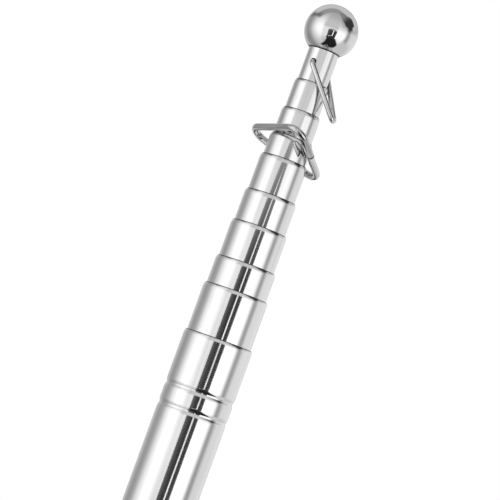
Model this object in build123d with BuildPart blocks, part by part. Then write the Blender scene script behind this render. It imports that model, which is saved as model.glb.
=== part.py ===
"""Hand-held telescopic flagpole, pushed together, in polished steel.

A plain handle tube holds nine thinner tubes, one inside the other. Each tube slides on a split
guide sleeve at its foot and is kept in by the rolled-in rim of the tube around it. The thinnest
tube carries a ball and, through a cross hole, a wire bail for the upper corner of a flag. A loose
wire triangle round the pole takes the lower corner.

Millimetres, +Z along the pole, origin at the middle of the end plug's lower face. The cross hole
lies along Y.
"""

import os
from math import cos, hypot, radians, sin, sqrt, tan

from build123d import *

os.makedirs("parts", exist_ok=True)

# Handle tube
handle_od = 22.2
handle_wall = 0.4
handle_length = 225.0

# Two rolled grooves near the top of the handle, which guide and stop the first inner tube
groove_width = 2.8
groove_depth = 0.34
upper_groove_drop = 17.5  # under the handle's rim
groove_spacing = 6.5

# Inner tubes
tube_wall = 0.4
tube_gap = 0.3  # radial room between one tube and the next
stand_out_2 = 15.75  # how far each rim stands above the rim of the tube around it
stand_out_3 = 9.15
stand_out_4 = 12.2
stand_out_5 = 10.5
stand_out_6 = 12.0
stand_out_7 = 7.3
stand_out_8 = 8.7
stand_out_9 = 9.7
stand_out_10 = 10.6

# Rolled-in rims
rim_height = 1.5
rim_lip = 0.2  # width of the small flat at the very top of a rim
rim_clearance = 0.1  # radial, from a rim or groove to the tube that slides through

# Feet of the inner tubes and their split guide sleeves
foot_lip = 0.16  # how far the foot is flared out under its sleeve
foot_lip_height = 0.8
foot_clearance = 0.3  # between the feet and the end plug, pushed together
sleeve_length = 18.0
sleeve_slit = 2.0
sleeve_grip = 0.02  # radial, between a sleeve and the tube that it sits on
sleeve_clearance = 0.05  # radial, between a sleeve and the bore that it slides in

# End plug
plug_flange_height = 3.0
plug_spigot_length = 12.0
plug_clearance = 0.05
plug_inset = 0.1  # radial, of the flange within the handle's outside
plug_chamfer = 0.8

# Ball on the thinnest tube
ball_diameter = 16.9
ball_spigot_clearance = 0.05
ball_spigot_margin = 0.4  # between the spigot's end and the cross hole

# Cross hole and the wire bail that hangs in it
hole_diameter = 2.2
hole_drop = 4.5  # under the ball's seat
bail_wire = 1.65
bail_hang = 18.0  # height of the hole above the bail's tip, as if that were sharp
bail_clearance = 0.31  # between the bail's legs and the tubes beside them
bail_corner_share = 1.095  # how far out the corners are, of the room that the legs need
bail_corner_radius = 1.6
bail_tip_radius = 1.2
bail_end_gap = 0.6  # between the wire's two ends inside the tube

# Loose wire triangle, lying on a rim
link_wire = 2.2
link_room = 0.58  # between the tube that it lies round and the middles of its sides
link_corner_radius = 3.7
link_lap_gap = 0.1  # between the overlapping ends
link_lap_slant = 30.0  # how far down from straight outwards the outer end lies from the inner one
link_end_share = 0.45  # where the outer end stops, along the front right side
link_tail_share = 0.23  # where the inner end stops, along the same side
link_drop = 2.47  # of the triangle's middle under the rim that it lies on
link_left_shift = 0.29
link_back_shift = 0.06
link_pitch = -18.5
link_roll = 19.0
link_turn = 22.5

cut_overrun = 1.0

# Radii from the handle inwards, and heights of the rims
stand_outs = [
    stand_out_2, stand_out_3, stand_out_4, stand_out_5, stand_out_6,
    stand_out_7, stand_out_8, stand_out_9, stand_out_10,
]
last_tube = 1 + len(stand_outs)
tube_radius = {1: handle_od / 2}
tube_bore = {1: handle_od / 2 - handle_wall}
rim_z = {1: plug_flange_height + handle_length}
for number, stand_out in enumerate(stand_outs, start=2):
    tube_radius[number] = tube_bore[number - 1] - tube_gap
    tube_bore[number] = tube_radius[number] - tube_wall
    rim_z[number] = rim_z[number - 1] + stand_out
foot_z = plug_flange_height + plug_spigot_length + foot_clearance
groove_heights = [
    rim_z[1] - upper_groove_drop - groove_spacing,
    rim_z[1] - upper_groove_drop,
]
seat_z = rim_z[last_tube]
hole_z = seat_z - hole_drop


def rolled_groove(radius, floor, middle):
    """Add a shallow groove to a wall line: four equal arcs, tangent to the wall and each other."""
    low, high = middle - groove_width / 2, middle + groove_width / 2
    quarter = groove_width / 4
    slope = (radius + floor) / 2
    TangentArc((radius, low), (slope, low + quarter), tangent=(0, 1))
    TangentArc((floor, middle), (slope, low + quarter), tangent=(0, -1))
    TangentArc((floor, middle), (slope, high - quarter), tangent=(0, 1))
    TangentArc((radius, high), (slope, high - quarter), tangent=(0, -1))


def rolled_rim(radius, lip_radius, top):
    """Add the arc that leaves a wall line upright and leans in to the lip of the rim."""
    TangentArc((radius, top - rim_height), (lip_radius, top), tangent=(0, 1))


# Handle: straight wall, two rolled grooves and a rolled rim
with BuildPart() as handle_tube:
    with BuildSketch(Plane.XZ):
        with BuildLine():
            outer, inner = tube_radius[1], tube_bore[1]
            bottom, top = plug_flange_height, rim_z[1]
            lip_inner = tube_radius[2] + rim_clearance
            lip_outer = lip_inner + rim_lip
            outer_start, inner_start = bottom, bottom
            for middle in groove_heights:
                low, high = middle - groove_width / 2, middle + groove_width / 2
                Line((outer, outer_start), (outer, low))
                rolled_groove(outer, outer - groove_depth, middle)
                Polyline((inner, inner_start), (inner, low), (lip_inner, middle), (inner, high))
                outer_start, inner_start = high, high
            Line((outer, outer_start), (outer, top - rim_height))
            Line((inner, inner_start), (inner, top - rim_height))
            rolled_rim(outer, lip_outer, top)
            rolled_rim(inner, lip_inner, top)
            Line((inner, bottom), (outer, bottom))
            Line((lip_inner, top), (lip_outer, top))
        make_face()
    revolve(axis=Axis.Z)
handle_tube.part.label = "handle_tube"
export_step(handle_tube.part, "parts/handle_tube.step")

# End plug: a flange just inside the handle's outline and a spigot in its bore
with BuildPart() as end_plug:
    with BuildSketch():
        Circle(tube_radius[1] - plug_inset)
    extrude(amount=plug_flange_height)
    with BuildSketch(Plane.XY.offset(plug_flange_height)):
        Circle(tube_bore[1] - plug_clearance)
    extrude(amount=plug_spigot_length)
    chamfer(end_plug.edges().group_by(Axis.Z)[0], length=plug_chamfer)
    chamfer(end_plug.edges().group_by(Axis.Z)[-1], length=plug_chamfer)
end_plug.part.label = "end_plug"
export_step(end_plug.part, "parts/end_plug.step")

# Inner tubes: flared foot, straight wall, rolled rim, and on the last one a plain top and cross hole
for number in range(2, last_tube + 1):
    outer, inner = tube_radius[number], tube_bore[number]
    top = rim_z[number]
    flare = outer + foot_lip
    with BuildPart() as tube:
        with BuildSketch(Plane.XZ):
            with BuildLine():
                Polyline(
                    (inner, foot_z),
                    (flare, foot_z),
                    (flare, foot_z + foot_lip_height),
                    (outer, foot_z + foot_lip_height),
                    (outer, top - rim_height),
                )
                Line((inner, foot_z), (inner, top - rim_height))
                if number < last_tube:
                    lip_inner = tube_radius[number + 1] + rim_clearance
                    lip_outer = lip_inner + rim_lip
                    rolled_rim(outer, lip_outer, top)
                    rolled_rim(inner, lip_inner, top)
                    Line((lip_inner, top), (lip_outer, top))
                else:
                    Polyline(
                        (outer, top - rim_height), (outer, top), (inner, top), (inner, top - rim_height)
                    )
            make_face()
        revolve(axis=Axis.Z)
        if number == last_tube:
            with BuildSketch(Plane.XZ):
                with Locations((0, hole_z)):
                    Circle(hole_diameter / 2)
            extrude(amount=outer + cut_overrun, both=True, mode=Mode.SUBTRACT)
    tube.part.label = f"tube_{number}"
    export_step(tube.part, f"parts/tube_{number}.step")

# Split guide sleeves, each on the foot of its tube and sliding in the bore around it
for number in range(2, last_tube + 1):
    sleeve_outer = tube_bore[number - 1] - sleeve_clearance
    sleeve_inner = tube_radius[number] + sleeve_grip
    with BuildPart() as sleeve:
        with BuildSketch(Plane.XY.offset(foot_z + foot_lip_height)):
            Circle(sleeve_outer)
            Circle(sleeve_inner, mode=Mode.SUBTRACT)
            Rectangle(
                sleeve_outer + cut_overrun, sleeve_slit,
                align=(Align.MIN, Align.CENTER), mode=Mode.SUBTRACT,
            )
        extrude(amount=sleeve_length)
    sleeve.part.label = f"guide_sleeve_{number}"
    export_step(sleeve.part, f"parts/guide_sleeve_{number}.step")

# Ball: seated on the last tube's end where the sphere is as wide as the tube, with a short spigot
ball_radius = ball_diameter / 2
seat_radius = tube_radius[last_tube]
ball_z = seat_z + sqrt(ball_radius**2 - seat_radius**2)
spigot_radius = tube_bore[last_tube] - ball_spigot_clearance
spigot_length = hole_drop - hole_diameter / 2 - ball_spigot_margin
with BuildPart() as ball_finial:
    with BuildSketch(Plane.XZ):
        with BuildLine():
            ThreePointArc((0, ball_z + ball_radius), (ball_radius, ball_z), (seat_radius, seat_z))
            Polyline(
                (seat_radius, seat_z),
                (spigot_radius, seat_z),
                (spigot_radius, seat_z - spigot_length),
                (0, seat_z - spigot_length),
                (0, ball_z + ball_radius),
            )
        make_face()
    revolve(axis=Axis.Z)
ball_finial.part.label = "ball_finial"
export_step(ball_finial.part, "parts/ball_finial.step")

# Wire bail: both ends enter the cross hole, the legs run down to a narrow rounded tip. They lean
# out as far as the rim of the next tube pushes them, so the tip's reach follows from that tube.
leg_room = bail_wire / 2 + bail_clearance
bail_corner = bail_corner_share * (tube_radius[last_tube] + leg_room)
rest_share = (stand_out_10 - hole_drop + rim_height) / bail_hang
rest_half_width = bail_corner * (1 - rest_share)
rest_reach = sqrt((tube_radius[last_tube - 1] + leg_room) ** 2 - rest_half_width**2)
bail_reach = rest_reach / rest_share
bail_height = hypot(bail_reach, bail_hang)
bail_plane = Plane(
    origin=(0, 0, hole_z), x_dir=(0, 1, 0), z_dir=(-bail_hang, 0, -bail_reach)
)
with BuildPart() as top_flag_ring:
    with BuildLine(bail_plane) as bail_path:
        FilletPolyline(
            (-bail_end_gap / 2, 0),
            (-bail_corner, 0),
            (0, bail_height),
            (bail_corner, 0),
            (bail_end_gap / 2, 0),
            radius=[bail_corner_radius, bail_tip_radius, bail_corner_radius],
        )
    with BuildSketch(Plane(origin=bail_path.line @ 0, z_dir=bail_path.line % 0)):
        Circle(bail_wire / 2)
    sweep()
top_flag_ring.part.label = "top_flag_ring"
export_step(top_flag_ring.part, "parts/top_flag_ring.step")

# Loose wire triangle on the rim of the seventh tube: one turn of wire, its ends lapped in front,
# the outer one outside and a little below the inner one
link_lap = link_wire + link_lap_gap
lap_out = link_lap * cos(radians(link_lap_slant))
lap_down = link_lap * sin(radians(link_lap_slant))
link_inradius = tube_radius[7] + link_room + link_wire / 2
link_half_side = link_inradius * tan(radians(60))
link_near = (0, -2 * link_inradius)
link_outer_near = (lap_out * tan(radians(30)), -2 * link_inradius - lap_out)
link_left = (-link_half_side, link_inradius)
link_right = (link_half_side, link_inradius)


def along_front(share, outwards):
    """The point at this share of the way from the near corner to the right one, moved outwards."""
    x, y = (near + share * (right - near) for near, right in zip(link_near, link_right))
    return (x + outwards * cos(radians(30)), y - outwards * sin(radians(30)))


link_place = (
    Location((0, 0, rim_z[7] - link_drop))
    * Rotation(0, 0, link_turn)
    * Location((-link_left_shift, link_back_shift, 0))
    * Rotation(0, link_roll, 0)
    * Rotation(link_pitch, 0, 0)
)
with BuildPart() as lower_flag_ring:
    with BuildLine(Plane(link_place)) as link_path:
        FilletPolyline(
            (*along_front(link_end_share, lap_out), -lap_down),
            (*link_outer_near, -lap_down),
            (*link_left, 0),
            (*link_right, 0),
            (*along_front(link_tail_share, 0), 0),
            radius=[link_corner_radius, link_corner_radius, link_corner_radius],
        )
    with BuildSketch(Plane(origin=link_path.line @ 0, z_dir=link_path.line % 0)):
        Circle(link_wire / 2)
    sweep()
lower_flag_ring.part.label = "lower_flag_ring"
export_step(lower_flag_ring.part, "parts/lower_flag_ring.step")
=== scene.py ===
# %% [markdown]
# # A telescopic hand flagpole in polished steel
# The real pole is ten drawn steel tubes, one inside the other, with a steel ball on the thinnest
# one and two bent wires that take the corners of a flag. Its solids are already drawn, so this
# lesson loads them as a fixed frame and dresses them: smooth turned walls that reflect without
# facets, round wires, worn metal, and a small studio in which polished steel looks like steel.

# %% Load the frame
from math import radians

import bpy
import numpy as np
from mathutils import Matrix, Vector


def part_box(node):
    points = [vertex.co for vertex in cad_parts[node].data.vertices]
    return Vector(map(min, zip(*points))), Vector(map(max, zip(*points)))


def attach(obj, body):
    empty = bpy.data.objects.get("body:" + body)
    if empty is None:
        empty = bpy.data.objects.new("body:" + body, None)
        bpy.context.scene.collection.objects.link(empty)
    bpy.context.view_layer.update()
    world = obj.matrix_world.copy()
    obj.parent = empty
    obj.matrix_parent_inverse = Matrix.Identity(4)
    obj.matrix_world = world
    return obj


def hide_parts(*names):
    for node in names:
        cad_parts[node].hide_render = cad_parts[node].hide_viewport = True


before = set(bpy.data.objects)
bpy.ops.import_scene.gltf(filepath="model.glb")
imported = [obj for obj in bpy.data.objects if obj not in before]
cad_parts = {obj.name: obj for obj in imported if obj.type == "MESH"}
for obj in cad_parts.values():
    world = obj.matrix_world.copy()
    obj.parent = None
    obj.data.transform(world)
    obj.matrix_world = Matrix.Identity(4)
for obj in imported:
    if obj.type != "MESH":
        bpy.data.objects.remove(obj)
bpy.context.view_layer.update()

mm = 0.001
scene = bpy.context.scene

# %% [markdown]
# ## The camera
# The picture shows the upper part of the pole from a little below, leaning 20 degrees to the right,
# with the handle running out of the frame. The pole itself could be tilted, but it stands upright in
# its own frame, so the camera is rolled instead. A long lens from three quarters of a metre gives
# the slight narrowing towards the ball.

# %% Place the camera
view_turn, view_rise, view_roll = radians(26.8), radians(-4.0), radians(20.04)
view_distance, aim_height, aim_shift = 735 * mm, 257.6 * mm, 0.46 * mm

upright = np.array([0.0, 0.0, 1.0])
ahead = np.array([np.sin(view_turn), -np.cos(view_turn), 0.0])
level_right = np.array([np.cos(view_turn), np.sin(view_turn), 0.0])
to_camera = np.cos(view_rise) * ahead + np.sin(view_rise) * upright
level_up = np.cross(to_camera, level_right)
aim = aim_height * upright - aim_shift * level_right

placing = np.eye(4)
placing[:3, 0] = np.cos(view_roll) * level_right + np.sin(view_roll) * level_up
placing[:3, 1] = np.cos(view_roll) * level_up - np.sin(view_roll) * level_right
placing[:3, 2] = to_camera
placing[:3, 3] = aim + view_distance * to_camera

camera_data = bpy.data.cameras.new("photo_camera")
camera_data.lens, camera_data.sensor_width = 170.0, 36.0
camera_data.clip_start, camera_data.clip_end = 0.01, 50.0
camera = bpy.data.objects.new("photo_camera", camera_data)
scene.collection.objects.link(camera)
camera.matrix_world = Matrix(placing.tolist())
scene.camera = camera
print("camera at", np.round(placing[:3, 3], 3))

# %% [markdown]
# ## One skin for everything
# Tubes, plug and ball are lathe shapes, and the two flag rings are bent wire. Both are rows of
# points round a middle line, so one function can skin them all. Blender's Spin and Screw would turn
# a profile too, but whole arrays are quicker and leave nothing to merge or to turn right way out.

# %% Skin, turning and pieces
def skin(rows, capped):
    """Quads between neighbouring rows and columns of a grid of points, closed round each row.

    Capped: the first and last rows are single points, and triangles fan out from them.
    Not capped: the last row joins the first. Columns run anticlockwise seen from the last row."""
    count, sides = rows.shape[:2]
    fans = []
    if capped:
        points = np.vstack([rows[0, :1], rows[1:-1].reshape(-1, 3), rows[-1, :1]])
        index = 1 + np.arange((count - 2) * sides).reshape(count - 2, sides)
        first, last = np.zeros(sides, int), np.full(sides, len(points) - 1)
        fans = np.vstack([
            np.stack([first, np.roll(index[0], -1), index[0]], 1),
            np.stack([last, index[-1], np.roll(index[-1], -1)], 1),
        ]).tolist()
    else:
        points = rows.reshape(-1, 3)
        index = np.arange(count * sides).reshape(count, sides)
        index = np.vstack([index, index[:1]])
    near, far = index[:-1], index[1:]
    quads = np.stack([near, np.roll(near, -1, 1), np.roll(far, -1, 1), far], -1).reshape(-1, 4)
    return points, quads.tolist() + fans


def turned(profile, sides=180):
    """Turn rows of (radius, height) about the pole: x = r cos a, y = r sin a, z = h."""
    angle = np.linspace(0, 2 * np.pi, sides, endpoint=False)
    radius, height = np.asarray(profile, float).T[:, :, None]
    rows = np.stack([radius * np.cos(angle), radius * np.sin(angle), height + 0 * angle], -1)
    return skin(rows, capped=radius[0, 0] == 0)


def smooth(value, start, stop):
    """0 at start, 1 at stop, and 3 t squared - 2 t cubed of the share t of the way between."""
    share = np.clip((value - start) / (stop - start), 0.0, 1.0)
    return share * share * (3 - 2 * share)


def keep_values(mesh, name, values, kind="FLOAT", field="value"):
    """Store a number, or a vector, for each point of a mesh as a named attribute."""
    mesh.attributes.new(name, kind, "POINT").data.foreach_set(field, values.ravel().astype(np.float32))


sharp_from = radians(28)


def add_piece(name, points, faces, material, body, node, painted_shade=None):
    """Make a mesh at the origin, smooth but for its real edges, that stands for one CAD node.

    The painted shade, from 0 to 1 at each point, is kept as an attribute that the finishes read."""
    mesh = bpy.data.meshes.new(name)
    mesh.from_pydata(points.tolist(), [], faces)
    if painted_shade is not None:
        keep_values(mesh, "painted_shade", painted_shade)
    mesh.shade_smooth()
    mesh.set_sharp_from_angle(angle=sharp_from)
    mesh.materials.append(material)
    piece = bpy.data.objects.new(name, mesh)
    scene.collection.objects.link(piece)
    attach(piece, body)
    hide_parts(node)
    low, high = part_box(node)
    stray = np.abs(np.r_[points.min(0) - low, points.max(0) - high]).max() / mm
    print(f"{name}: {len(faces)} faces, at most {stray:.3f} mm from its solid's box")
    return piece


# %% [markdown]
# ## Polished steel
# Drawn tube has faint lines along its length from the die, and polishing leaves a skin that is not
# evenly bright: slight clouds, a few fine scratches, rubbed places where one tube slides in the
# next. A plain metal with one roughness would look like a mirror ball. So roughness and a very low
# bump come from noise in the piece's own coordinates, stretched along the pole for the drawn lines.
# Where one tube comes out of the next, the gap is darkened with a line of painted shade; it is kept as a
# value on the points of the rims, because no noise knows where a rim is.

# %% Helpers for shader nodes
def add_node(tree, kind, links=(), **settings):
    """Add a node, set its properties, then fill inputs from (input, socket or value) pairs."""
    made = tree.nodes.new(kind)
    for key, value in settings.items():
        setattr(made, key, value)
    for key, value in links:
        if isinstance(value, bpy.types.NodeSocket):
            tree.links.new(value, made.inputs[key])
        else:
            made.inputs[key].default_value = value
    return made


def ramp(tree, source, stops):
    """A colour ramp with (place, grey or colour) stops, driven by the source socket."""
    made = add_node(tree, "ShaderNodeValToRGB", [("Fac", source)])
    elements = made.color_ramp.elements
    while len(elements) < len(stops):
        elements.new(0.5)
    for element, (place, shade) in zip(elements, stops):
        element.position = place
        element.color = (*np.broadcast_to(shade, 3), 1.0)
    return made.outputs["Color"]


def streaks(tree, scale, detail=3.0, turn=(0.0, 0.0, 0.0)):
    """Noise on Object coordinates, with so many waves a metre along each axis."""
    where = add_node(tree, "ShaderNodeTexCoord").outputs["Object"]
    spread = add_node(tree, "ShaderNodeMapping", [("Vector", where), ("Scale", scale), ("Rotation", turn)])
    noise = add_node(tree, "ShaderNodeTexNoise",
                     [("Vector", spread.outputs["Vector"]), ("Scale", 1.0), ("Detail", detail)])
    return noise.outputs["Fac"]


def blend_values(tree, first, second, share):
    """first + share * second, as one value socket."""
    return add_node(tree, "ShaderNodeMath", [(0, second), (1, share), (2, first)],
                    operation="MULTIPLY_ADD").outputs["Value"]


# %% A metal with clouds, marks and painted shade
# The colour of the painted shade, and how much the painted shade dulls the metal
painted_shade_colour, painted_shade_dulling = (0.03, 0.03, 0.03, 1.0), 0.3
relief_height = 0.02 * mm
faint_mark, strong_mark = 0.42, 0.66  # marks between these go from clean to dark
smooth_mark, rough_mark = 0.3, 1.0  # marks between these go from the smoothest to the roughest


def finish_metal(name, colour_stops, clouds, marks, rough, bump, lines=0.0):
    """A metal with clouded colour and marks that drive its roughness and a very low bump.

    clouds is a noise scale; marks is a function that gives a value socket in a tree; rough is
    (smoothest, roughest). lines is how much of the marks shows as dark. Painted shade darkens and dulls it."""
    material = bpy.data.materials.new(name)
    material.use_nodes = True
    tree = material.node_tree
    shader = tree.nodes["Principled BSDF"]
    shader.inputs["Metallic"].default_value = 1.0
    # Painted shade from the points' attribute: mixed towards a dark colour and made rougher
    painted_shade_mask = add_node(tree, "ShaderNodeAttribute", attribute_name="painted_shade").outputs["Fac"]
    colour = ramp(tree, streaks(tree, clouds, 4.0), colour_stops)
    dark = add_node(tree, "ShaderNodeMix", [("Factor", painted_shade_mask), ("A", colour), ("B", painted_shade_colour)],
                    data_type="RGBA")
    height = marks(tree)
    worn = ramp(tree, height, [(faint_mark, 1.0), (strong_mark, 1.0 - lines)])
    toned = add_node(tree, "ShaderNodeMix", [("Factor", 1.0), ("A", dark.outputs["Result"]), ("B", worn)],
                     data_type="RGBA", blend_type="MULTIPLY")
    tree.links.new(toned.outputs["Result"], shader.inputs["Base Color"])
    wide = add_node(tree, "ShaderNodeMapRange", [
        ("Value", height), ("From Min", smooth_mark), ("From Max", rough_mark),
        ("To Min", rough[0]), ("To Max", rough[1])])
    dull = blend_values(tree, wide.outputs["Result"], painted_shade_mask, painted_shade_dulling)
    tree.links.new(dull, shader.inputs["Roughness"])
    relief = add_node(tree, "ShaderNodeBump", [
        ("Height", height), ("Strength", bump), ("Distance", relief_height)])
    tree.links.new(relief.outputs["Normal"], shader.inputs["Normal"])
    return material


# %% [markdown]
# ### Marks of the tools
# A tube is drawn through a die, a ball is buffed on a wheel, and a wire is drawn first and bent later,
# so each carries other marks. One noise for all three could be scaled, but it would lie the same way on
# all. The tube's lines run along the pole, the ball's swirls have no direction, and the wire's lines
# follow the length along it, which each point keeps from before the bending.

# %% Steel finishes
def drawn_marks(tree):
    """Lines along the pole, and a few fine slanting scratches over them."""
    lines = streaks(tree, (900, 900, 14), 5.0)
    slanting = streaks(tree, (1500, 1500, 60), 2.0, (0.12, 0.08, 0.0))
    scratches = ramp(tree, slanting, [(0.63, 0.0), (0.74, 1.0)])
    return blend_values(tree, lines, scratches, 0.35)


def buffed_marks(tree):
    """Small round swirls of the polishing wheel, with a few pits."""
    swirls = streaks(tree, (420, 420, 420), 6.0)
    pits = ramp(tree, streaks(tree, (1800, 1800, 1800), 1.0), [(0.68, 0.0), (0.76, 1.0)])
    return blend_values(tree, swirls, pits, 0.4)


def wire_marks(tree):
    """Lines along the wire, from noise in the place that a point has on the wire before bending."""
    straight = add_node(tree, "ShaderNodeAttribute", attribute_name="unbent").outputs["Vector"]
    spread = add_node(tree, "ShaderNodeMapping", [("Vector", straight), ("Scale", (1500, 1500, 60))])
    lines = add_node(tree, "ShaderNodeTexNoise",
                     [("Vector", spread.outputs["Vector"]), ("Scale", 1.0), ("Detail", 3.0)]).outputs["Fac"]
    nicks = ramp(tree, streaks(tree, (2600, 2600, 2600), 1.0), [(0.64, 0.0), (0.74, 1.0)])
    return blend_values(tree, lines, nicks, 0.5)


tube_steel = finish_metal("tube_steel", [(0.3, 0.74), (0.7, 0.80)], (60, 60, 25), drawn_marks,
                          rough=(0.07, 0.15), bump=0.06, lines=0.10)
ball_steel = finish_metal("ball_steel", [(0.3, 0.67), (0.7, 0.72)], (120, 120, 120), buffed_marks,
                          rough=(0.03, 0.07), bump=0.03)
wire_steel = finish_metal("wire_steel", [(0.3, 0.72), (0.7, 0.79)], (200, 200, 200), wire_marks,
                          rough=(0.06, 0.15), bump=0.12, lines=0.45)
print("finishes", [m.name for m in (tube_steel, ball_steel, wire_steel)])

# %% [markdown]
# ## The handle
# The handle is a thin drawn tube with two rolled grooves near its top, which guide the first inner
# tube, and a rim that is rolled in to keep that tube from coming out. A smooth profile of arcs, turned
# about the axis, gives the broad shoulders and narrow floors on which the reflections pinch and flare.
# Cutting grooves into a cylinder would leave sharp edges that a roller never makes.

# %% Profiles of rims, grooves and walls
wall = 0.4 * mm
gap = 0.3 * mm
foot_lip, foot_height = 0.16 * mm, 0.8 * mm
rim_height, rim_lip, rim_clearance = 1.5 * mm, 0.2 * mm, 0.1 * mm
groove_width, groove_depth, floor_share = 3.3 * mm, 0.34 * mm, 0.27
lip_edge_share = 0.3
# Painted shade at each rim: it starts this far under the top, and is full this far under it
rim_shade_start, rim_shade_full = 0.34 * mm, 0.12 * mm

node_of = {number: f"tube_{number}" for number in range(2, 11)} | {1: "handle_tube"}
foot_z, rim_z = ({n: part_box(node)[end].z for n, node in node_of.items()} for end in (0, 1))
radius_of = {n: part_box(node)[1].x - (foot_lip if n > 1 else 0.0) for n, node in node_of.items()}


def rolled_rim(radius, lip, top, steps=25):
    """An arc that leaves the wall upright and leans in to the lip.

    Its own radius is (height squared + lean squared) / (2 lean)."""
    lean = radius - lip
    arc = (rim_height**2 + lean**2) / (2 * lean)
    angle = np.linspace(0, np.arcsin(rim_height / arc), steps)
    return np.stack([radius - arc + arc * np.cos(angle), top - rim_height + arc * np.sin(angle)], 1)


def rolled_groove(radius, middle, steps=15):
    """Arcs away from the wall, into a narrower floor, out of the floor and back to the wall.

    All meet at one slope, 2 arctan(depth / half width), so an arc's radius is its run / sin(slope)."""
    half = groove_width / 2
    floor = floor_share * half
    slope = 2 * np.arctan(groove_depth / half)
    floor_arc, shoulder_arc = floor / np.sin(slope), (half - floor) / np.sin(slope)
    along = np.linspace(-half, half, 4 * steps + 1)
    off = np.abs(along)
    rising = floor_arc - np.sqrt(floor_arc**2 - np.minimum(off, floor) ** 2)
    falling = shoulder_arc - np.sqrt(shoulder_arc**2 - (half - off) ** 2)
    depth = np.where(off < floor, groove_depth - rising, falling)
    return np.stack([radius - depth, middle + along], 1)


def inner_groove(radius, floor, middle):
    """The bore at a groove, from the top down: a plain V that just clears the tube inside."""
    half = groove_width / 2
    return np.array([[radius, middle + half], [floor, middle], [radius, middle - half]])


def soft_lip(inner, outer, top, steps=5):
    """The small flat of a rim, its two edges broken by quarter circles."""
    edge = lip_edge_share * (outer - inner)
    angle = np.linspace(0, np.pi / 2, steps)
    right = np.stack([outer - edge + edge * np.cos(angle), top - edge + edge * np.sin(angle)], 1)
    left = np.stack([inner + edge - edge * np.sin(angle), top - edge + edge * np.cos(angle)], 1)
    return np.vstack([right, left])


def rim_painted_shade(points, top):
    """No painted shade until a third of a millimetre under the top, dark at the lip."""
    return smooth(points[:, 2], top - rim_shade_start, top - rim_shade_full)


print("radii in mm", {n: round(r / mm, 2) for n, r in sorted(radius_of.items())})

# %% Turn the handle
outer, inner = radius_of[1], radius_of[1] - wall
bottom, top = foot_z[1], rim_z[1]
lip = inner - gap + rim_clearance
upper_groove_drop, groove_spacing, edge_break = 17.5 * mm, 6.5 * mm, 0.05 * mm
grooves = top - upper_groove_drop - groove_spacing * np.array([1, 0])
handle_profile = np.vstack([
    [[inner, bottom], [outer - edge_break, bottom], [outer, bottom + edge_break]],
    rolled_groove(outer, grooves[0]), rolled_groove(outer, grooves[1]),
    rolled_rim(outer, lip + rim_lip, top)[:-1], soft_lip(lip, lip + rim_lip, top),
    rolled_rim(inner, lip, top)[-2::-1],
    inner_groove(inner, lip, grooves[1]), inner_groove(inner, lip, grooves[0]),
])
points, faces = turned(handle_profile, sides=240)
add_piece("handle_shell", points, faces, tube_steel, "handle", "handle_tube",
          rim_painted_shade(points, top))

# %% [markdown]
# ## The nine inner tubes
# Each inner tube is the same pattern, drawn thinner: a foot flared out to hold a guide sleeve, a
# straight wall and a rolled-in rim. The thinnest has a plain top under the ball and a cross hole for
# the bail. One profile function with the radius and height of each solid makes them all; the hole is
# left to a Boolean, because a grid turned about the pole has no edge that follows it.

# %% Turn the tubes
for number in range(2, 11):
    outer, top, foot = radius_of[number], rim_z[number], foot_z[number]
    inner, flare = outer - wall, outer + foot_lip
    start = [[inner, foot], [flare, foot], [flare, foot + foot_height], [outer, foot + foot_height]]
    if number < 10:
        lip = inner - gap + rim_clearance
        end = np.vstack([
            rolled_rim(outer, lip + rim_lip, top)[:-1], soft_lip(lip, lip + rim_lip, top),
            rolled_rim(inner, lip, top)[-2::-1],
        ])
    else:
        end = [[outer, top], [inner, top]]
    points, faces = turned(np.vstack([start, end]), sides=200)
    painted_shade = rim_painted_shade(points, top) if number < 10 else None
    add_piece(f"tube_shell_{number}", points, faces, tube_steel, f"section_{number}",
              f"tube_{number}", painted_shade)

# %% Cross hole of the thinnest tube
hole_drop, hole_radius, drill_reach = 4.5 * mm, 1.1 * mm, 7 * mm
hole_z = rim_z[10] - hole_drop
around = np.linspace(0, 2 * np.pi, 64, endpoint=False)
size = hole_radius * np.array([0, 1, 1, 0])[:, None]
reach = drill_reach * np.array([-1, -1, 1, 1])[:, None]
drill = np.stack([size * np.cos(around), reach + 0 * around, hole_z - size * np.sin(around)], -1)
points, faces = skin(drill, capped=True)
drill_mesh = bpy.data.meshes.new("drill")
drill_mesh.from_pydata(points.tolist(), [], faces)
drill_bit = bpy.data.objects.new("drill", drill_mesh)
scene.collection.objects.link(drill_bit)
thin_tube = bpy.data.objects["tube_shell_10"]
cut = thin_tube.modifiers.new("cross_hole", "BOOLEAN")
cut.operation, cut.object, cut.solver = "DIFFERENCE", drill_bit, "EXACT"
bpy.context.view_layer.update()
cut_tube = thin_tube.evaluated_get(bpy.context.evaluated_depsgraph_get())
drilled = bpy.data.meshes.new_from_object(cut_tube)
thin_tube.modifiers.clear()
thin_tube.data = drilled
drilled.set_sharp_from_angle(angle=sharp_from)
bpy.data.objects.remove(drill_bit)
print("thin tube has", len(drilled.polygons), "faces after drilling")

# %% Painted shade inside the thinnest tube
places = np.empty(3 * len(drilled.vertices), np.float32)
drilled.vertices.foreach_get("co", places)
from_axis = np.hypot(*places.reshape(-1, 3).T[:2])
# Painted shade on the bore and the walls of the cross hole: full on the inner wall, none on the outer skin
bore_shade_start, bore_shade_full = 0.1 * wall, 0.6 * wall
inside = smooth(from_axis, radius_of[10] - bore_shade_start, radius_of[10] - bore_shade_full)
keep_values(drilled, "painted_shade", inside)
print("share of the thin tube's points that is dark", round(inside.mean(), 2))

# %% [markdown]
# ## The ball
# A solid polished ball sits on the last tube's end, where the sphere is just as wide as the tube, and a
# short spigot holds it. A UV sphere would do, but its pole rings would not meet the tube; the same
# turned profile, an arc from the seat to the top, joins it without a step.

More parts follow.
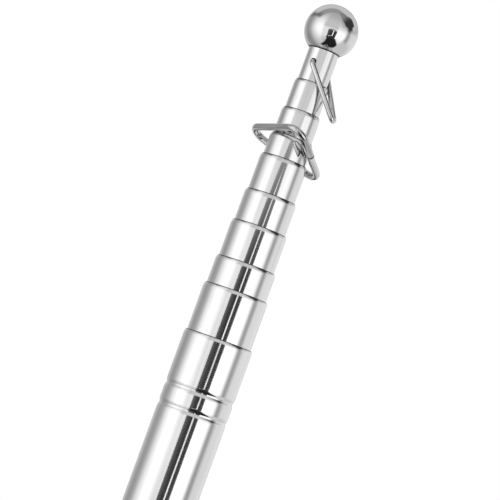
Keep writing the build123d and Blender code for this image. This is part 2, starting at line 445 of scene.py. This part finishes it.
# %% Turn the ball
low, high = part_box("ball_finial")
ball_radius = high.x
ball_z, seat_z, seat = high.z - ball_radius, rim_z[10], radius_of[10]
push_fit = 0.05 * mm
spigot = seat - wall - push_fit
angle = np.linspace(-np.arccos(seat / ball_radius), np.pi / 2, 120)
sphere = np.stack([ball_radius * np.cos(angle), ball_z + ball_radius * np.sin(angle)], 1)
sphere[-1, 0] = 0.0
ball_profile = np.vstack([[[0, low.z], [spigot, low.z], [spigot, seat_z]], sphere])
points, faces = turned(ball_profile, sides=240)
# Painted shade darkens the foot of the ball, where it sits on the tube
seat_shade_full, seat_shade_end = 0.2 * mm, 0.5 * mm
seat_painted_shade = 1 - smooth(points[:, 2], seat_z + seat_shade_full, seat_z + seat_shade_end)
add_piece("ball_tip", points, faces, ball_steel, "section_10", "ball_finial", seat_painted_shade)

# %% [markdown]
# ## The end plug
# The picture cuts the handle off, so its closed end is a guess: a turned plug with a flange and a
# spigot in the bore, its edges chamfered. Fine rings from the lathe tool show on its flat face. They
# come from the distance to the axis, which no stretched noise could give.

# %% Turn the plug
ring_waves = 16000.0  # radians a metre


def lathe_marks(tree):
    """Rings about the axis: a sine of the distance from it, broken up by noise."""
    where = add_node(tree, "ShaderNodeTexCoord").outputs["Object"]
    flat = add_node(tree, "ShaderNodeVectorMath", [(0, where), (1, (1.0, 1.0, 0.0))], operation="MULTIPLY")
    away = add_node(tree, "ShaderNodeVectorMath", [(0, flat.outputs["Vector"])], operation="LENGTH")
    waves = add_node(tree, "ShaderNodeMath", [(0, away.outputs["Value"]), (1, ring_waves)],
                     operation="MULTIPLY")
    rings = add_node(tree, "ShaderNodeMath", [(0, waves.outputs["Value"])], operation="SINE")
    return blend_values(tree, streaks(tree, (300, 300, 300), 5.0), rings.outputs["Value"], 0.15)


plug_steel = finish_metal("plug_steel", [(0.3, 0.66), (0.7, 0.74)], (150, 150, 150), lathe_marks,
                          rough=(0.14, 0.3), bump=0.25)
low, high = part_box("end_plug")
handle_length, chamfer = 225.0 * mm, 0.8 * mm
flange, bore = high.x, radius_of[1] - wall - push_fit
shoulder = rim_z[1] - handle_length
plug_profile = [
    [0, low.z], [flange - chamfer, low.z], [flange, low.z + chamfer], [flange, shoulder], [bore, shoulder],
    [bore, high.z - chamfer], [bore - chamfer, high.z], [0, high.z],
]
points, faces = turned(plug_profile)
add_piece("foot_plug", points, faces, plug_steel, "handle", "end_plug")

# %% [markdown]
# ## Bent wire
# Both flag rings are one length of drawn wire bent round pins. A Blender curve with a round bevel
# would give the tube, but its ends stay square and its bends follow handles, not pin radii. Here the
# middle line is straight runs joined by true arcs, and a circle is carried along it.

# %% Bending and drawing wire
def bent_line(corners, bends, steps=14):
    """Runs between corner points, each inner corner rounded to a bend radius.

    An arc starts r / tan(half the angle) before its corner, and its middle is on the bisector."""
    line = [corners[:1]]
    for corner, before, after, bend in zip(corners[1:-1], corners[:-2], corners[2:], bends):
        back, onward = before - corner, after - corner
        back, onward = back / np.linalg.norm(back), onward / np.linalg.norm(onward)
        half = np.arccos(back @ onward) / 2
        bisector = (back + onward) / np.linalg.norm(back + onward)
        middle = corner + bisector * bend / np.sin(half)
        sweep = np.linspace(-(np.pi / 2 - half), np.pi / 2 - half, steps)[:, None]
        across = (onward - back) / np.linalg.norm(onward - back)
        line.append(middle + bend * (np.sin(sweep) * across - np.cos(sweep) * bisector))
    return np.vstack(line + [corners[-1:]])


def length_run(line):
    """The length run along a line at each of its points."""
    return np.r_[0, np.cumsum(np.linalg.norm(np.diff(line, axis=0), axis=1))]


end_share = 0.35  # of the wire's radius, rounded off at its cut ends


def drawn_wire(line, normal, radius, sides=32):
    """Carry a circle along a line: point + r (cos a * across + sin a * up).

    up is the given normal made square to the line, across is up x forward. The ends are rounded.
    The points are given again as they lie on the straight wire, with the length run as height."""
    runs = np.diff(line, axis=0)
    runs = runs / np.linalg.norm(runs, axis=1, keepdims=True)
    forward = np.vstack([runs[:1], runs[:-1] + runs[1:], runs[-1:]])
    rounding = end_share * radius
    turn = np.linspace(np.pi / 2, 0, 5)
    inset, size = rounding * (1 - np.sin(turn)), radius - rounding * (1 - np.cos(turn))
    head = line[0] + inset[:, None] * runs[0]
    tail = (line[-1] - inset[:, None] * runs[-1])[::-1]
    middles = np.vstack([line[:1], head, line[1:-1], tail, line[-1:]])
    repeats = len(turn) + 1
    forward = np.vstack([
        np.repeat(forward[:1], repeats, 0), forward[1:-1], np.repeat(forward[-1:], repeats, 0)])
    sizes = np.r_[0, size, np.full(len(line) - 2, radius), size[::-1], 0]
    forward = forward / np.linalg.norm(forward, axis=1, keepdims=True)
    up = normal - (forward @ normal)[:, None] * forward
    up = up / np.linalg.norm(up, axis=1, keepdims=True)
    across = np.cross(up, forward)
    angle = np.linspace(0, 2 * np.pi, sides, endpoint=False)[:, None]
    ring = np.cos(angle) * across[:, None] + np.sin(angle) * up[:, None]
    run = length_run(middles)
    flat = np.stack(np.broadcast_arrays(
        sizes[:, None] * np.cos(angle.T), sizes[:, None] * np.sin(angle.T), run[:, None]), -1)
    points, faces = skin(middles[:, None] + sizes[:, None, None] * ring, capped=True)
    return points, faces, skin(flat, capped=True)[0]


plain_end = 0.6 * mm  # at each end of a wire, where no points are added
crowded = 0.3  # of a step: no point is added so near to one that is there


def divided(line, step):
    """The same line with more points on its long runs, a step apart, so that the painted shade stays where
    it is.
    """
    place = length_run(line)
    extra = np.arange(plain_end, place[-1] - plain_end, step)
    extra = extra[np.abs(extra[:, None] - place).min(1) > crowded * step]
    spots = np.sort(np.r_[place, extra])
    return np.stack([np.interp(spots, place, axis) for axis in line.T], 1)


row_step, search_step = 0.35 * mm, 0.12 * mm
# Painted shade at the wire's cut ends and where its runs lap
end_shade_start, end_shade_full = 0.95, 0.6  # in wire radii from a cut end
lap_shade_start, lap_shade_full, lap_shade_strength = 0.45, 0.12, 0.7  # the first two in wire radii of room between runs
same_run = 12  # in wire radii: nearer points along the wire are not a lap


def add_wire(name, line, normal, radius, body, node):
    """Draw a wire along a line. Its cut ends, and places where it nearly touches itself, get painted shade.

    Room is the distance to the line less the radius, with the wire's own stretch left out."""
    line = divided(line, row_step)
    points, faces, straight = drawn_wire(line, normal, radius)
    run = straight[:, 2]
    cut = smooth(np.minimum(run, run.max() - run), end_shade_start * radius, end_shade_full * radius)
    fine = divided(line, search_step)
    room = np.linalg.norm(points[:, None] - fine[None], axis=2) - radius
    room[np.abs(run[:, None] - length_run(fine)) < same_run * radius] = 1.0
    lapped = smooth(room.min(1), lap_shade_start * radius, lap_shade_full * radius)
    painted_shade = np.maximum(cut, lap_shade_strength * lapped)
    piece = add_piece(name, points, faces, wire_steel, body, node, painted_shade)
    keep_values(piece.data, "unbent", straight, "FLOAT_VECTOR", "vector")


# %% [markdown]
# ## The bail under the ball
# A narrow wire loop hangs in the cross hole and leans on the rim of the next tube; the upper corner of
# the flag is clipped to it. Its two ends meet inside the tube, so the line starts and stops there.

# %% Bend the bail
bail_wire, bail_corner, bail_reach, bail_hang = 1.65 * mm, 6.499 * mm, 12.956 * mm, 18.0 * mm
bail_top = np.array([0.0, 0.0, hole_z])
beside, end_gap = np.array([0.0, 1.0, 0.0]), 0.3 * mm
bail_tip = bail_top + np.array([bail_reach, 0.0, -bail_hang])
bail_corners = np.array([
    bail_top - end_gap * beside, bail_top - bail_corner * beside, bail_tip,
    bail_top + bail_corner * beside, bail_top + end_gap * beside,
])
bail_normal = np.array([bail_hang, 0.0, bail_reach]) / np.hypot(bail_hang, bail_reach)
shoulder_bend, tip_bend = 1.6 * mm, 1.2 * mm
bail_line = bent_line(bail_corners, [shoulder_bend, tip_bend, shoulder_bend])
add_wire("flag_bail", bail_line, bail_normal, bail_wire / 2, "top_ring", "top_flag_ring")

# %% [markdown]
# ## The loose triangle
# A thicker wire, bent to a triangle with lapped ends, hangs round the pole on a rim and takes the lower
# corner of the flag. It lies tilted as it fell, so its flat corners are turned and raised together by
# one matrix. The outer end of the wire passes outside the inner one and a little below it.

# %% Bend the triangle
def turn_matrix(axis, degrees):
    """Rotation about the axis numbered 0, 1 or 2."""
    return np.array(Matrix.Rotation(radians(degrees), 3, "XYZ"[axis]))


link_wire, link_room, link_bend = 2.2 * mm, 0.58 * mm, 3.7 * mm
lap, lap_slant, half_corner = 2.3 * mm, radians(30), radians(30)
outer_share, inner_share = 0.45, 0.23  # of the side that the lapped ends reach along
lap_out, lap_down = lap * np.cos(lap_slant), lap * np.sin(lap_slant)
inradius = radius_of[7] + link_room + link_wire / 2
half_side = inradius * np.sqrt(3)
near = np.array([0, -2 * inradius, 0])
left, right = np.array([-half_side, inradius, 0]), np.array([half_side, inradius, 0])
outer_near = near + [lap_out * np.tan(half_corner), -lap_out, -lap_down]
outwards = np.array([lap_out * np.cos(half_corner), -lap_out * np.sin(half_corner), -lap_down])
flat_corners = np.array([
    near + outer_share * (right - near) + outwards, outer_near, left, right,
    near + inner_share * (right - near),
])
link_roll, link_pitch, link_turn = 19.0, -18.5, 22.5
link_shift, link_drop = np.array([-0.29, 0.06, 0.0]) * mm, 2.47 * mm
lie = turn_matrix(1, link_roll) @ turn_matrix(0, link_pitch)
spin = turn_matrix(2, link_turn)
link_corners = (flat_corners @ lie.T + link_shift) @ spin.T + (rim_z[7] - link_drop) * upright
link_line = bent_line(link_corners, [link_bend] * 3, steps=24)
link_normal = spin @ lie @ upright
add_wire("flag_triangle", link_line, link_normal, link_wire / 2, "lower_ring", "lower_flag_ring")

# %% [markdown]
# ## The guide sleeves
# Split sleeves of spring brass sit on the feet of the tubes and stay hidden inside the next one. Their
# solids are plain rings already, so they keep them and only get a finish: dull rolled brass, with
# lines along the pole where it rubs.

# %% Brass for the sleeves
brass_stops = [(0.3, (0.66, 0.47, 0.20)), (0.7, (0.80, 0.62, 0.31))]
sleeve_brass = finish_metal("sleeve_brass", brass_stops, (180, 180, 60), drawn_marks,
                            rough=(0.22, 0.4), bump=0.15)
sleeves = [node for name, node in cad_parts.items() if name.startswith("guide_sleeve")]
for sleeve in sleeves:
    sleeve.data.materials.clear()
    sleeve.data.materials.append(sleeve_brass)
print("brass on", len(sleeves), "sleeves")

# %% [markdown]
# ## The studio
# Polished steel has no colour of its own: what is seen is the room. A product photographer hangs a
# white tent round the pole, puts soft boxes behind its cloth for the white bands and leaves a dark
# opening for the lens, which gives the black ones. The same is done here with three sheets that only
# reflections see: the tent, the front with its opening, and the table cloth. Real lamps would need
# the same shapes cut from card; a glow written on the points of each sheet can fade as cloth does.
# Angles are counted from the camera's side, to the right as the camera sees it.

# %% Sheets that glow
studio_glow = bpy.data.materials.new("studio_glow")
studio_glow.use_nodes = True
glow_tree = studio_glow.node_tree
glow_tree.nodes.clear()
brightness = add_node(glow_tree, "ShaderNodeAttribute", attribute_name="glow").outputs["Fac"]
glow_shader = add_node(glow_tree, "ShaderNodeEmission", [("Strength", brightness)])
add_node(glow_tree, "ShaderNodeOutputMaterial", [("Surface", glow_shader.outputs["Emission"])])


def sheet(name, points, glow):
    """A sheet through a grid of points, each with its own glow, seen in reflections only."""
    rows, columns = points.shape[:2]
    index = np.arange(rows * columns).reshape(rows, columns)
    quads = np.stack([index[:-1, :-1], index[:-1, 1:], index[1:, 1:], index[1:, :-1]], -1).reshape(-1, 4)
    mesh = bpy.data.meshes.new(name)
    mesh.from_pydata(points.reshape(-1, 3).tolist(), [], quads.tolist())
    keep_values(mesh, "glow", glow)
    mesh.materials.append(studio_glow)
    made = bpy.data.objects.new(name, mesh)
    scene.collection.objects.link(made)
    made.visible_camera = made.visible_diffuse = made.visible_shadow = False
    print(name, "of", len(quads), "faces, glow", np.round([glow.min(), glow.max()], 2))


def bell(value, middle, width):
    """exp(-d squared / 2), with d the distance from the middle in widths."""
    return np.exp(-0.5 * ((value - middle) / width) ** 2)


def faded(light, value, mask):
    """light + (value - light) * mask: the value where the mask is 1, the old light where it is 0."""
    return light + (value - light) * mask


# %% [markdown]
# ### The tent
# Two soft boxes stand left and right of the lens, the right one with a hard edge. Behind them the
# cloth falls off to grey. A seam runs over the top from side to side and is darkest on the right; the
# ball shows it as an arch. The cloth behind the seam is pale, and a dark fold drops from its left end.
# Straight behind, a dark gap keeps the pole's outline clear.

# %% Hang the tent
def studio_light(angle, rise):
    """Brightness of the tent by the angle from the lens and the height angle, both in degrees.

    Each patch fades the light so far to its own value, inside a mask that is a product of smooth steps.
    along and across are a direction's shares towards the lens and to the right."""
    along = np.cos(np.radians(rise)) * np.cos(np.radians(angle))
    across = np.cos(np.radians(rise)) * np.sin(np.radians(angle))
    # Plain cloth in front, to the left and to the right
    front = 1.04 - 0.30 * smooth(rise, 4, 10) - 0.20 * smooth(rise, 25, 70) - 0.30 * smooth(rise, -25, -50)
    left = 0.78 - 0.38 * bell(angle, -122, 22) - 0.08 * smooth(rise, -5, -30) * smooth(angle, -170, -130)
    right = 0.93 - 0.50 * bell(angle, 81, 8) * smooth(rise, -30, -10)
    right = right - 0.18 * smooth(rise, -5, -25) - 0.38 * smooth(rise, 10, 24)
    light = np.where(angle < 0, left, right) * (1 - 0.3 * smooth(rise, 25, 60))
    high = 25 * smooth(rise, 12, 28)
    light = faded(light, front, smooth(angle, -75, -50) * smooth(angle, 75 - high, 50 - high))
    # Left and right soft box
    light = faded(light, 1.45, smooth(angle, -108, -54) * smooth(angle, -30, -48) * bell(rise, -2, 26))
    light = faded(light, 1.50, smooth(angle, 23, 28) * smooth(angle, 75, 57) * bell(rise, -10, 18))
    # Pale cloth behind the seam, the seam between its near and far edges, and the fold
    aside, leftward = smooth(across, 0.1, 0.45), smooth(across, 0.0, -0.4)
    near_edge = 0.20 + 0.26 * aside - 0.24 * smooth(across, 0.70, 0.90)
    far_edge = -0.28 + 0.15 * smooth(across, -0.1, 0.2) - 0.26 * smooth(across, 0.40, 0.55)
    far_edge = far_edge + 0.22 * smooth(across, 0.72, 0.86)
    soft = 0.12 - 0.06 * aside
    above = smooth(rise, 20 + 6 * leftward, 27 + 7 * leftward)
    light = faded(light, 0.72, smooth(along, far_edge + 0.04, far_edge - 0.04) * above)
    seam = smooth(along, near_edge + soft, near_edge - soft)
    seam = seam * smooth(along, far_edge - 0.05, far_edge + 0.05) * above
    shade = 0.40 - 0.12 * smooth(across, -0.6, -0.8) - 0.10 * smooth(across, 0.0, 0.2)
    shade = shade - 0.25 * smooth(across, 0.3, 0.65)
    light = faded(light, shade, seam)
    fold = bell(rise, 36 + 22 * (along + 0.15), 3.5)
    light = faded(light, 0.20, fold * smooth(across, -0.45, -0.6) * smooth(along, 0.1, -0.1))
    # Dark gap straight behind
    return faded(light, 0.12, smooth(np.abs(angle), 164, 168) * smooth(rise, 40, 20))


tent_radius, tent_middle = 1.1, 0.30
angle, rise = np.meshgrid(np.linspace(-180, 180, 361), np.linspace(-16, 90, 107))
turn, lift = np.radians(angle)[..., None], np.radians(rise)[..., None]
tent = np.cos(lift) * (np.cos(turn) * ahead + np.sin(turn) * level_right) + np.sin(lift) * upright
sheet("light_tent", tent_radius * tent + tent_middle * upright, studio_light(angle, rise))

# %% [markdown]
# ### The opening for the lens
# A dark upright opening with a rounded top, and a bright slit in it, gives the two bars on every tube.
# It stands nearer than the tent, so the thin upper tubes look over it and lose the bars, as they do in
# the picture. Low down the opening widens to a foot and the slit hooks to the left, which shows on the
# ball and on the grooves' shoulders.

# %% Front of the tent
opening_away, opening_top = 0.40, 0.347
half_width, foot_extra = 19.4, 5.75  # these, and the next four, in degrees
middle, foot_shift, slit_place, hook_reach = 5.7, 2.25, 9.65, 15.0
slit_glow = 1.35
share, height = np.meshgrid(np.linspace(-1, 1, 201), opening_top * np.linspace(0, 1, 100) ** 0.5)
foot = smooth(height, 0.10, 0.05)
width = half_width * (1 - smooth(height, 0.29, 0.36) ** 2) ** 0.5 + foot_extra * foot
angle = middle + foot_shift * foot + share * width
hook = slit_place - hook_reach * smooth(height, 0.15, 0.10)
slit = smooth(np.abs(angle - hook), 2.35, 1.25) * smooth(height, 0.330, 0.320) * smooth(height, 0.085, 0.10)
haze = 0.08 * smooth(angle, 6, -14) + 0.03 * smooth(angle, 12, 24)
dark = 0.035 + haze * (1 - foot) + 0.26 * smooth(height, 0.27, 0.35)
turn = np.radians(angle)[..., None]
opening = opening_away * (np.cos(turn) * ahead + np.sin(turn) * level_right) + height[..., None] * upright
sheet("lens_opening", opening, faded(dark, slit_glow, slit))

# %% [markdown]
# ### The table cloth
# The cloth carries on the light of the tent, as it is seen from the ball, and the opening throws a dark
# patch on it towards the lens. The ball and the undersides of the wires and grooves show it. The patch
# starts a little off the pole, so that the handle, seen from above, still mirrors bright cloth.

# %% Lay the cloth
ball_height, cloth_rise, patch_glow = 0.331, 0.0002, 0.02
spread, way = np.meshgrid(np.geomspace(0.012, 1.08, 120), np.linspace(-180, 180, 241))
to_lens, to_right = spread * np.cos(np.radians(way)), spread * np.sin(np.radians(way))
light = studio_light(way, -np.degrees(np.arctan2(ball_height, spread)))
left_edge = -0.13 + 0.05 * smooth(to_lens, 0.0, 0.22)
right_edge = 0.10 + 0.17 * smooth(to_lens, -0.02, 0.16)
patch = smooth(to_right - left_edge, -0.03, 0.02) * smooth(to_right - right_edge, 0.03, -0.02)
patch = patch * smooth(to_lens, 0.03, 0.07) * smooth(to_lens, 0.5, 0.4)
cloth = to_lens[..., None] * ahead + to_right[..., None] * level_right + cloth_rise * upright
sheet("table_cloth", cloth, faded(light, patch_glow, patch))

# %% [markdown]
# ### Floor, room and lamp
# The pole stands on a white floor that keeps its shadow and fades into a white room. Both could be lit
# until they clip, but then the steel would be overlit too. So camera, reflection and transmission rays
# see plain white there, and all other rays meet a grey-white surface under one soft lamp overhead.

# %% Lay the floor
def white_to_the_eye(tree, plain, end, strength):
    """Mix a plain shader with so much white for camera, glossy and transmission rays."""
    path = add_node(tree, "ShaderNodeLightPath").outputs
    seen = path["Is Camera Ray"]
    for ray in ("Is Glossy Ray", "Is Transmission Ray"):
        either = add_node(tree, "ShaderNodeMath", [(0, seen), (1, path[ray])], operation="MAXIMUM")
        seen = either.outputs["Value"]
    share = add_node(tree, "ShaderNodeMath", [(0, seen), (1, strength)], operation="MULTIPLY")
    kind = "ShaderNodeBackground" if end.type == "OUTPUT_WORLD" else "ShaderNodeEmission"
    white = add_node(tree, kind, [("Color", (1.0, 1.0, 1.0, 1.0)), ("Strength", 1.0)])
    both = add_node(tree, "ShaderNodeMixShader",
                    [(0, share.outputs["Value"]), (1, plain), (2, white.outputs[0])])
    tree.links.new(both.outputs[0], end.inputs["Surface"])


floor_half, floor_drop = 3.0, 0.0002
floor_corners = floor_half * np.array([[-1, -1, 0], [1, -1, 0], [1, 1, 0], [-1, 1, 0]])
floor_points = floor_corners - floor_drop * upright
floor_mesh = bpy.data.meshes.new("floor")
floor_mesh.from_pydata(floor_points.tolist(), [], [[0, 1, 2, 3]])
floor = bpy.data.objects.new("floor", floor_mesh)
scene.collection.objects.link(floor)
floor_white = bpy.data.materials.new("floor_white")
floor_white.use_nodes = True
floor_tree = floor_white.node_tree
floor_shader = floor_tree.nodes["Principled BSDF"]
floor_shader.inputs["Base Color"].default_value = (0.88, 0.88, 0.88, 1.0)
floor_shader.inputs["Roughness"].default_value = 0.9
floor_place = add_node(floor_tree, "ShaderNodeTexCoord").outputs["Object"]
floor_reach = add_node(floor_tree, "ShaderNodeVectorMath", [(0, floor_place)], operation="LENGTH")
floor_fade = add_node(floor_tree, "ShaderNodeMapRange", [
    ("Value", floor_reach.outputs["Value"]), ("From Min", 0.3), ("From Max", 0.7),
    ("To Min", 0.75), ("To Max", 1.0)])
white_to_the_eye(floor_tree, floor_shader.outputs["BSDF"], floor_tree.nodes["Material Output"],
                 floor_fade.outputs["Result"])
floor_mesh.materials.append(floor_white)
print("floor of", 2 * floor_half, "m")

# %% World and lamp
world = bpy.data.worlds.new("white_studio")
scene.world = world
world.use_nodes = True
world_tree = world.node_tree
plain_sky = world_tree.nodes["Background"]
plain_sky.inputs["Color"].default_value = (1.0, 1.0, 1.0, 1.0)
plain_sky.inputs["Strength"].default_value = 0.6
white_to_the_eye(world_tree, plain_sky.outputs["Background"], world_tree.nodes["World Output"], 1.0)

lamp_data = bpy.data.lights.new("overhead_lamp", "AREA")
lamp_data.shape, lamp_data.size, lamp_data.energy = "DISK", 0.7, 12.0
lamp = bpy.data.objects.new("overhead_lamp", lamp_data)
lamp.location = (0.35, -0.45, 1.3)
lamp.rotation_euler = (radians(19.0), radians(15.0), 0.0)
lamp.visible_glossy = False
scene.collection.objects.link(lamp)
scene.view_settings.view_transform = "Standard"
print("stage ready")
